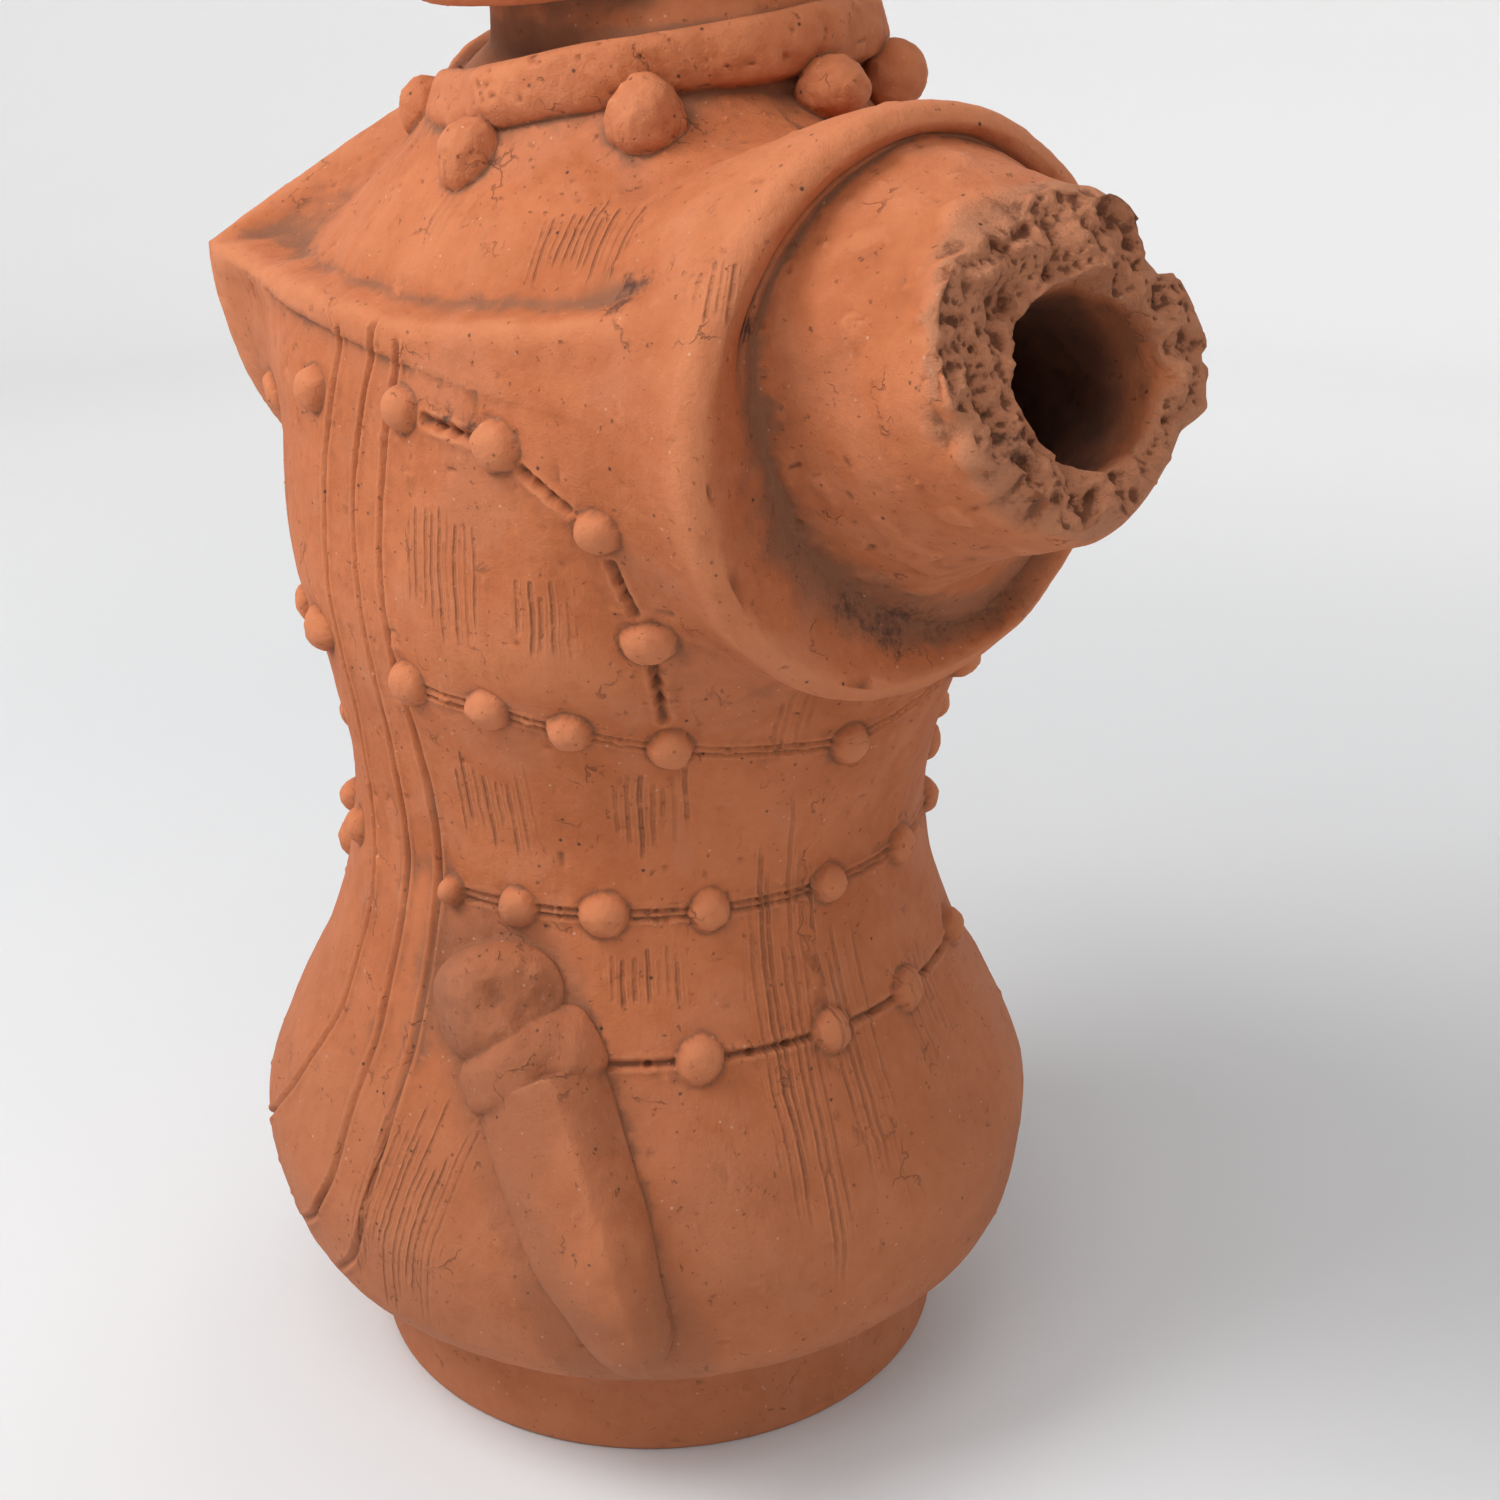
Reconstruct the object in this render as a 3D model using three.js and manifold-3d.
// Haniwa figure: a hollow fired-clay warrior, broken at both arms, modelled at its real size in millimetres.
// +Z is up, the figure faces -Y, and +X is its own left. The shapes are worked out about the middle of the base
// ring, and the finished figure is then moved so that its origin lies on the ground below the middle of its
// whole width and depth.
// The whole figure is one fired piece: coiled body, modelled head, pressed-on balls and a sword, all fused.
import * as THREE from 'three';
import { mergeVertices } from 'three/addons/utils/BufferGeometryUtils.js';
import Module from 'manifold-3d';

// ---------------------------------------------------------------- driving dimensions (mm)
const WALL = 10;
const BASE_RADIUS = 75;
const HEM_HEIGHT = 29;
const SKIRT_RADIUS = 99.5;
const WAIST_RADIUS = 71;
const NECK_RADIUS = 38;
const NECK_CENTRE_Y = 5;
const NECK_TOP = 352;
const SHOULDER_HALF_SPAN = 104;
const RIM_ROUNDING = 7;
const DISH_FLOOR = 91;
const DISH_RIM = 10;
const ARM_RADIUS = 31;
const BORE_RADIUS = 16.5;
const DOT_RADIUS = 4.6;
const BEAD_RADIUS = 7.6;
// The middle of the whole figure's width and depth, from the middle of the base ring.
const MIDDLE_X = 11;
const MIDDLE_Y = -1.8;

// Height and radius of the base, skirt and waist, which are round.
const SKIRT = [
  [0, BASE_RADIUS], [HEM_HEIGHT - 0.5, BASE_RADIUS + 1], [HEM_HEIGHT + 0.5, 81], [34, 90], [45, 96.5],
  [66, SKIRT_RADIUS], [88, 92.5], [112, 80.5], [138, 72.5], [152, WAIST_RADIUS],
];
// Height and reach of the chest to the side, to the front and to the back.
const CHEST_SIDE = [[182, 75], [214, 84], [252, 88], [276, 84], [294, 72], [304, 62], [322, 46]];
const CHEST_FRONT = [[182, 74], [214, 79], [252, 75], [276, 69], [294, 57], [304, 49], [322, 38]];
const CHEST_BACK = [[182, 73], [214, 75], [252, 72], [276, 68], [294, 61], [304, 57], [322, 48]];
const BODY_TOP = 322;

// The round mouth of each sleeve: centre, reach fore and aft, reach up and down, and how peaked its top is.
const RIGHT_SLEEVE = { y: -4, z: 276, fore: 59.5, up: 31, down: 72, peak: 1.05 };
const LEFT_SLEEVE = { y: -2, z: 263, fore: 56.5, up: 59.5, down: 59.5, peak: 2 };

// Each arm: where its axis leaves the sleeve, the way it points, its length and the offset of its bore.
const LEFT_ARM = { from: [100, -2, 263], to: [152, -4, 284], length: 50, bore: [2, -3] };
const RIGHT_ARM = { from: [-100, 2, 256], to: [-130, 4, 230], length: 22, bore: [0, 0] };

// ---------------------------------------------------------------- small helpers
const wasm = await Module();
wasm.setup();

const clamp = THREE.MathUtils.clamp;
const mix = THREE.MathUtils.lerp;
const smooth = (x, low, high) => THREE.MathUtils.smoothstep(x, low, high);

// A smooth curve through [height, value] pairs that never overshoots them.
function curveThrough(pairs) {
  const slopes = pairs.slice(1).map(([z, v], i) => (v - pairs[i][1]) / (z - pairs[i][0]));
  const tangents = pairs.map((_, i) => {
    if (i === 0) return slopes[0];
    if (i === slopes.length) return slopes[i - 1];
    const [before, after] = [slopes[i - 1], slopes[i]];
    return before * after > 0 ? (2 * before * after) / (before + after) : 0;
  });
  return (z) => {
    const last = pairs.length - 2;
    const i = clamp(pairs.findIndex(([top]) => top > z) - 1, 0, last);
    const k = z >= pairs[last + 1][0] ? last : i;
    const h = pairs[k + 1][0] - pairs[k][0];
    const t = clamp((z - pairs[k][0]) / h, 0, 1);
    const rise = t * t * (3 - 2 * t);
    const bend = h * (t * (1 - t) * (1 - t) * tangents[k] - t * t * (1 - t) * tangents[k + 1]);
    return mix(pairs[k][1], pairs[k + 1][1], rise) + bend;
  };
}

// A closed geometry becomes a solid: vertices merged, empty faces dropped, faces turned outwards.
function solid(geometry) {
  const bare = geometry.clone();
  bare.deleteAttribute('normal');
  bare.deleteAttribute('uv');
  const merged = mergeVertices(bare, 1e-3);
  const points = merged.attributes.position.array;
  const index = merged.index.array;
  const faces = [];
  let volume = 0;
  const [a, b, c] = [new THREE.Vector3(), new THREE.Vector3(), new THREE.Vector3()];
  for (let i = 0; i < index.length; i += 3) {
    const [p, q, r] = [index[i], index[i + 1], index[i + 2]];
    if (p === q || q === r || r === p) continue;
    faces.push(p, q, r);
    a.fromArray(points, 3 * p);
    b.fromArray(points, 3 * q);
    c.fromArray(points, 3 * r);
    volume += a.dot(b.cross(c));
  }
  if (volume < 0) faces.reverse();
  const mesh = new wasm.Mesh({
    numProp: 3, vertProperties: new Float32Array(points), triVerts: new Uint32Array(faces),
  });
  return new wasm.Manifold(mesh);
}

// Moves every vertex of a geometry with a function of its position.
function reshape(geometry, move) {
  const position = geometry.attributes.position;
  const point = new THREE.Vector3();
  for (let i = 0; i < position.count; i += 1) {
    point.fromBufferAttribute(position, i);
    move(point);
    position.setXYZ(i, point.x, point.y, point.z);
  }
  return geometry;
}

// A lathe about +Z from [radius, height] pairs, closed on its axis at both ends.
function lathe(profile, sides) {
  const outline = profile.map(([radius, height]) => new THREE.Vector2(radius, height));
  outline.unshift(new THREE.Vector2(0, outline[0].y));
  outline.push(new THREE.Vector2(0, outline[outline.length - 1].y));
  return new THREE.LatheGeometry(outline, sides).rotateX(Math.PI / 2);
}

// Steps from low to high in even parts, both ends included.
const steps = (low, high, parts) => Array.from({ length: parts + 1 }, (_, i) => mix(low, high, i / parts));

// ---------------------------------------------------------------- the body's form
const sideReach = curveThrough([...SKIRT, ...CHEST_SIDE]);
const frontReach = curveThrough([...SKIRT, ...CHEST_FRONT]);
const backReach = curveThrough([...SKIRT, ...CHEST_BACK]);
// The chest is squarer than the round waist.
const squareness = (z) => 2 + 0.6 * smooth(z, 160, 225) * (1 - smooth(z, 250, 310));
// The skirt leans a little to the figure's right and front, as a hand-built one does.
const sway = (z) => Math.sin(Math.PI * clamp((z - 20) / 180, 0, 1));
const leanX = (z) => -1.8 * sway(z);
const leanY = (z) => -2.4 * sway(z);

// How far the body reaches from its axis at height z, in direction (x, y), drawn in by an inset.
function reach(x, y, z, inset) {
  const a = sideReach(z) - inset;
  const b = (y < 0 ? frontReach(z) : backReach(z)) - inset;
  const n = squareness(z);
  return (Math.abs(x / a) ** n + Math.abs(y / b) ** n) ** (-1 / n);
}

// The sleeve mouths blend into one barrel across the shoulders: its section at x.
function sleeveSection(x) {
  const share = (clamp(x / SHOULDER_HALF_SPAN, -1, 1) + 1) / 2;
  const flare = smooth(Math.abs(x), 45, 100);
  const at = (key) => mix(RIGHT_SLEEVE[key], LEFT_SLEEVE[key], share);
  return {
    y: at('y'),
    z: at('z'),
    fore: mix(63, at('fore'), flare),
    up: mix(mix(27, 47, share), at('up'), flare),
    down: mix(50, at('down'), flare),
    peak: mix(RIGHT_SLEEVE.peak, LEFT_SLEEVE.peak, smooth(x, -75, 5)),
  };
}

// A point on the barrel's skin at x, at an angle from straight back, drawn in by an inset.
function onBarrel(x, angle, inset) {
  const s = sleeveSection(x);
  const [c, h] = [Math.cos(angle), Math.sin(angle)];
  const [a, b, n] = [s.fore - inset, (h > 0 ? s.up : s.down) - inset, h > 0 ? s.peak : 2];
  const r = (Math.abs(c / a) ** n + Math.abs(h / b) ** n) ** (-1 / n);
  return new THREE.Vector3(x, s.y + r * c, s.z + r * h);
}

// Whether a point lies inside the body or the barrel.
function isInside(x, y, z) {
  const [dx, dy] = [x - leanX(z), y - leanY(z)];
  const r = Math.hypot(dx, dy);
  if (r < reach(dx / r, dy / r, z, 0)) return true;
  if (Math.abs(x) > SHOULDER_HALF_SPAN) return false;
  const s = sleeveSection(x);
  const skin = onBarrel(x, Math.atan2(z - s.z, y - s.y), 0);
  return Math.hypot(y - s.y, z - s.z) < Math.hypot(skin.y - s.y, skin.z - s.z);
}

// The front skin at x and height z.
function onFront(x, z) {
  let [outside, within] = [-120, -30];
  for (let i = 0; i < 20; i += 1) {
    const middle = (outside + within) / 2;
    if (isInside(x, middle, z)) within = middle;
    else outside = middle;
  }
  return new THREE.Vector3(x, outside, z);
}

// The outer skin at height z, at an angle turned from the front towards the figure's left, and its normal.
function onBody(degrees, z) {
  const angle = THREE.MathUtils.degToRad(degrees);
  const at = (turn) => {
    const [x, y] = [Math.sin(turn), -Math.cos(turn)];
    let [low, high] = [40, 130];
    for (let i = 0; i < 20; i += 1) {
      const middle = (low + high) / 2;
      if (isInside(x * middle, y * middle, z)) low = middle;
      else high = middle;
    }
    return new THREE.Vector3(x * low, y * low, z);
  };
  const point = at(angle);
  const along = at(angle + 0.05).sub(at(angle - 0.05));
  const normal = new THREE.Vector3(along.y, -along.x, 0).normalize();
  return { point, normal };
}

// ---------------------------------------------------------------- body, barrel and hollow
function bodySolid() {
  const heights = [0, 28, 29.5, 34, 45, 56, 68, 82, 98, 114, 132, 152, 174, 198, 222, 250, 270, 284, 298, 310, BODY_TOP];
  const shape = lathe(heights.map((z) => [1, z]), 32);
  return solid(reshape(shape, (p) => {
    const r = Math.hypot(p.x, p.y) > 0.5 ? reach(p.x, p.y, p.z, 0) : 0;
    p.set(p.x * r + leanX(p.z), p.y * r + leanY(p.z), p.z);
  }));
}

function barrelSolid() {
  const half = SHOULDER_HALF_SPAN;
  const round = RIM_ROUNDING;
  const stations = [-half, -half + 0.3 * round, -half + round, -85, -66, 66, 85, half - round,
    half - 0.3 * round, half];
  const shape = lathe(stations.map((x) => [1, x]), 28);
  return solid(reshape(shape, (p) => {
    const x = p.z;
    const past = clamp((Math.abs(x) - half + round) / round, 0, 1);
    const inset = round * (1 - Math.sqrt(1 - past * past));
    const isAxis = Math.hypot(p.x, p.y) < 0.5;
    const s = sleeveSection(x);
    if (isAxis) p.set(x, s.y, s.z);
    else p.copy(onBarrel(x, Math.atan2(p.x, p.y), inset));
  }));
}

// The dished recess behind each sleeve's rim, in which the arm is set.
function dishSolid(side) {
  const depths = [[DISH_FLOOR, 22], [DISH_FLOOR + 1, 15], [DISH_FLOOR + 4, 12], [SHOULDER_HALF_SPAN, DISH_RIM],
    [SHOULDER_HALF_SPAN + 4, DISH_RIM - 2]];
  const shape = lathe(depths.map(([x]) => [1, x]), 22);
  return solid(reshape(shape, (p) => {
    const x = p.z;
    const inset = depths.find(([depth]) => Math.abs(depth - x) < 0.01)[1];
    const isAxis = Math.hypot(p.x, p.y) < 0.5;
    const s = sleeveSection(side * x);
    if (isAxis) p.set(side * x, s.y, s.z);
    else p.copy(onBarrel(side * x, Math.atan2(p.x, p.y), inset));
  }));
}

// The neckline: a raised lip across the chest, level on the right and climbing to the left sleeve.
function lipSolid() {
  const height = (x) => 276 + 15 * Math.max(x / 98, 0) ** 2.2;
  const points = steps(-98, 98, 14).map((x) => onFront(x, height(x)));
  const section = new THREE.Shape().absellipse(0, 0, 3.2, 3.2, 0, 2 * Math.PI, false, 0);
  return solid(new THREE.ExtrudeGeometry(section, {
    extrudePath: new THREE.CatmullRomCurve3(points), steps: 14, curveSegments: 4, bevelEnabled: false,
  }));
}

// The hollow: the coiled wall's inner face from the open base to the neck, and the inside of the shoulders.
function hollowSolid() {
  const insideRadius = BASE_RADIUS - WALL;
  const heights = [-5, 20, 36, 50, 66, 84, 104, 126, 152, 180, 208, 236, 260, 278, 292, 304];
  const shape = lathe(heights.map((z) => [1, z]), 22);
  const tube = solid(reshape(shape, (p) => {
    const z = p.z;
    const isAxis = Math.hypot(p.x, p.y) < 0.5;
    const outer = Math.max(z, 0) + 6 * smooth(z, 200, 290);
    const widest = insideRadius + 1.2 * Math.max(z - 34, 0);
    const r = isAxis ? 0 : Math.min(reach(p.x, p.y, outer, WALL), widest);
    p.set(p.x * r + leanX(z), p.y * r + leanY(z), z);
  }));
  const end = DISH_FLOOR - WALL + 1;
  const across = lathe([-end, -66, -45, 0, 45, 66, end].map((x) => [1, x]), 18);
  const shoulders = solid(reshape(across, (p) => {
    const x = p.z;
    const s = sleeveSection(x);
    const isAxis = Math.hypot(p.x, p.y) < 0.5;
    if (isAxis) p.set(x, s.y, s.z);
    else p.copy(onBarrel(x, Math.atan2(p.x, p.y), WALL));
  }));
  const throat = lathe([[NECK_RADIUS - WALL, 290], [NECK_RADIUS - WALL, NECK_TOP + 2]], 16);
  return tube.add(shoulders).add(solid(throat.translate(0, NECK_CENTRE_Y, 0)));
}

// ---------------------------------------------------------------- arms
// A round form along an arm's axis from [radius, distance] pairs, its axis moved sideways by an offset.
function alongArm(arm, profile, sides, offset) {
  const from = new THREE.Vector3(...arm.from);
  const way = new THREE.Vector3(...arm.to).sub(from).normalize();
  const across = new THREE.Vector3(0, 0, 1).cross(way).normalize();
  const up = way.clone().cross(across);
  const place = new THREE.Matrix4().makeBasis(across, up, way).setPosition(from);
  return lathe(profile, sides).translate(offset[0], offset[1], 0).applyMatrix4(place);
}

// The arm swells into the dish at its root and ends in a ragged break.
function armSolid(arm, sides) {
  const { length } = arm;
  const profile = [[46, -16], [42, -6], [37, 3], [34, 12], [32, 0.55 * length], [ARM_RADIUS, length]];
  const shape = lathe(profile, sides);
  const ragged = reshape(shape, (p) => {
    if (p.z < length - 1 || Math.hypot(p.x, p.y) < 1) return;
    const turn = Math.atan2(p.y, p.x);
    p.z += 2.2 * Math.sin(3 * turn + 1) + 1.6 * Math.sin(5 * turn);
  });
  const from = new THREE.Vector3(...arm.from);
  const way = new THREE.Vector3(...arm.to).sub(from).normalize();
  const across = new THREE.Vector3(0, 0, 1).cross(way).normalize();
  const place = new THREE.Matrix4().makeBasis(across, way.clone().cross(across), way).setPosition(from);
  return solid(ragged.applyMatrix4(place));
}

function boreSolid(arm) {
  const profile = [[BORE_RADIUS - 2, -32], [BORE_RADIUS - 1, 0.6 * arm.length], [BORE_RADIUS + 1, arm.length + 8]];
  return solid(alongArm(arm, profile, 16, arm.bore));
}

// ---------------------------------------------------------------- collar and necklace
// The collar is a clay band round the neck that rises towards the figure's left and back.
function collarFoot(x, y) {
  const fromFront = THREE.MathUtils.radToDeg(Math.atan2(x, NECK_CENTRE_Y - y));
  const rise = smooth(-fromFront, 38, 78) * (1 - smooth(-fromFront, 110, 175));
  return 318.5 + 0.15 * x + 0.1 * (y - NECK_CENTRE_Y) + 8 * rise;
}

function collarSolid() {
  const profile = [[30, -7], [49, -4], [50.5, 1], [50, 5], [47, 9.5], [40, 9], [30, 7]];
  return solid(reshape(lathe(profile, 22), (p) => {
    const y = p.y + NECK_CENTRE_Y;
    p.set(p.x, y, p.z + collarFoot(p.x, y));
  }));
}

function neckSolid() {
  const profile = [[NECK_RADIUS + 4, 312], [NECK_RADIUS, 330], [NECK_RADIUS, NECK_TOP]];
  return solid(lathe(profile, 22).translate(0, NECK_CENTRE_Y, 0));
}

function necklaceSolids() {
  const count = 10;
  const firstAngle = -27;
  return Array.from({ length: count }, (_, i) => {
    const turn = THREE.MathUtils.degToRad(firstAngle + (i * 360) / count);
    const [x, y] = [53 * Math.sin(turn), NECK_CENTRE_Y - 53 * Math.cos(turn)];
    const ball = new THREE.SphereGeometry(BEAD_RADIUS, 7, 5).rotateX(Math.PI / 2);
    return solid(ball.translate(x, y, collarFoot(x, y) - 4.5));
  });
}

// ---------------------------------------------------------------- pressed-on balls
// Rings of balls on the chest and waist, as [angle, height] pairs, and the chains that cross the chest.
function dotPlaces() {
  const upperRing = [16, 32, 45, 60, 93, 125, 158].map((a) => [a, 199 - 16 * Math.sin((a * Math.PI) / 180) ** 4]);
  const waistRing = [18, 32, 48, 67, 92, 115, 140, 165].map((a) => [a, 147]);
  const skirtRing = [64, 88, 108, 135].map((a) => [a, 114]);
  const chain = [[16, 258], [36, 255.5], [51, 241], [57, 217.5]];
  const sideDots = [[146, 169], [146, 159]];
  const left = [...upperRing, ...waistRing, ...skirtRing, ...chain, ...sideDots];
  const right = [...upperRing, ...waistRing, ...skirtRing, ...chain.slice(2)].map(([a, z]) => [-a, z]);
  return [...left, ...right, [-16, 255], [-38, 167], [-38, 132]];
}

function dotSolids() {
  return dotPlaces().map(([degrees, z]) => {
    const { point, normal } = onBody(degrees, z);
    const centre = point.addScaledVector(normal, -1);
    const ball = new THREE.IcosahedronGeometry(1.08 * DOT_RADIUS, 0);
    return solid(ball.translate(centre.x, centre.y, centre.z));
  });
}

// ---------------------------------------------------------------- sword
// The short sword lies slantwise on the skirt: a knobbed hilt, a guard band and a tapering scabbard.
function swordSolid() {
  const length = 92;
  const profile = [[3, 0], [10, 2], [13.5, 8], [13, 16], [10.5, 20], [13.5, 24], [14, 34], [11, 37], [10.5, 55],
    [10, 74], [8, 86], [3, length]];
  const thickness = 0.72;
  const turned = (s) => 1 - Math.max(1 - s / length, 0) ** 1.35;
  const place = (s) => onBody(mix(27, 55, turned(s)), mix(134, 47, s / length));
  return solid(reshape(lathe(profile, 8), (p) => {
    const { point, normal } = place(p.z);
    const way = place(p.z + 2).point.sub(place(p.z - 2).point).normalize();
    const outward = normal.clone().addScaledVector(way, -normal.dot(way)).normalize();
    const across = way.clone().cross(outward);
    p.copy(point.clone().addScaledVector(across, p.x).addScaledVector(outward, p.y * thickness));
  }));
}

// ---------------------------------------------------------------- head
// A plain egg-shaped head with a flat jaw that overhangs the neck and hangs lower at the chin.
const HEAD = { x: 48, y: 54, centreY: -1, chin: 334, height: 126 };
const HEAD_PROFILE = [[0.84, 0], [0.92, 3], [0.96, 11], [0.99, 30], [1, 52], [0.98, 72], [0.9, 92], [0.73, 109],
  [0.45, 121], [0.15, 126]];

function headForm(inset, sides) {
  const scale = (HEAD.height - 2 * inset) / HEAD.height;
  const profile = HEAD_PROFILE.map(([r, h]) => [r, inset + h * scale]);
  return solid(reshape(lathe(profile, sides), (p) => {
    const y = HEAD.centreY + (HEAD.y - inset) * p.y;
    const lift = 0.12 * (y + HEAD.y) * (1 - smooth(p.z, 0, 70));
    const jaw = mix(0.84, 1, smooth(p.z, 0, 45));
    p.set((HEAD.x - inset) * jaw * p.x, y, HEAD.chin + p.z + lift);
  }));
}

// An almond-shaped cut from front to back, for the eyes and the mouth.
function almondCut(x, z, halfLength, halfHeight) {
  const lid = new THREE.Shape();
  lid.moveTo(-halfLength, 0);
  lid.quadraticCurveTo(0, 2 * halfHeight, halfLength, 0);
  lid.quadraticCurveTo(0, -2 * halfHeight, -halfLength, 0);
  const cut = new THREE.ExtrudeGeometry(lid, { depth: 30, curveSegments: 4, bevelEnabled: false });
  return solid(cut.rotateX(Math.PI / 2).translate(x, HEAD.centreY - HEAD.y + 22, z));
}

function noseSolid() {
  const profile = [[2.5, -15], [6, -12], [5, 0], [3.4, 14], [2.6, 20]];
  const bridge = lathe(profile, 8).scale(1, 1.5, 1).rotateX(0.12);
  return solid(bridge.translate(0, HEAD.centreY - HEAD.y + 2, HEAD.chin + 62));
}

// The headband and the flat discs of the ears.
function headTrim() {
  const rise = HEAD.chin + 86;
  const band = lathe([[0.8, -7], [0.985, -6], [0.945, 6], [0.8, 7]], 22);
  const fitted = band.applyMatrix4(new THREE.Matrix4().makeScale(HEAD.x + 1, HEAD.y + 1, 1));
  const ears = [-1, 1].map((side) => {
    const disc = lathe([[8, -4], [9.5, -1], [9.5, 2], [7, 4]], 10).rotateY((side * Math.PI) / 2);
    return solid(disc.translate(side * (HEAD.x + 1), 4, HEAD.chin + 60));
  });
  return [solid(fitted.translate(0, HEAD.centreY, rise)), ...ears];
}

function headSolids() {
  return [headForm(0, 22), noseSolid(), ...headTrim()];
}

function headCuts() {
  const eyeHeight = HEAD.chin + 66;
  const eyes = [-1, 1].map((side) => almondCut(side * 18, eyeHeight, 9, 2.6));
  return [headForm(WALL - 1, 16), ...eyes, almondCut(0, HEAD.chin + 34, 11, 1.8)];
}

// ---------------------------------------------------------------- the figure
const join = (parts) => parts.reduce((whole, part) => whole.add(part));

const shell = join([bodySolid(), barrelSolid(), lipSolid()])
  .subtract(dishSolid(1))
  .subtract(dishSolid(-1));
const dressed = join([
  shell, armSolid(LEFT_ARM, 18), armSolid(RIGHT_ARM, 14), neckSolid(), collarSolid(), swordSolid(),
  ...necklaceSolids(), ...dotSolids(), ...headSolids(),
]);
const hollows = join([hollowSolid(), boreSolid(LEFT_ARM), boreSolid(RIGHT_ARM), ...headCuts()]);
const figure = dressed.subtract(hollows);

function toGeometry(manifold) {
  const mesh = manifold.getMesh();
  const geometry = new THREE.BufferGeometry();
  geometry.setAttribute('position', new THREE.BufferAttribute(mesh.vertProperties, 3));
  geometry.setIndex(new THREE.BufferAttribute(mesh.triVerts, 1));
  geometry.computeVertexNormals();
  return geometry;
}

const terracotta = new THREE.MeshStandardMaterial({ color: 0xb5683f, roughness: 0.85, metalness: 0 });
const haniwa = new THREE.Mesh(toGeometry(figure), terracotta);
haniwa.name = 'haniwa_figure';
haniwa.position.set(-MIDDLE_X, -MIDDLE_Y, 0);

const group = new THREE.Group();
group.add(haniwa);

export default group;
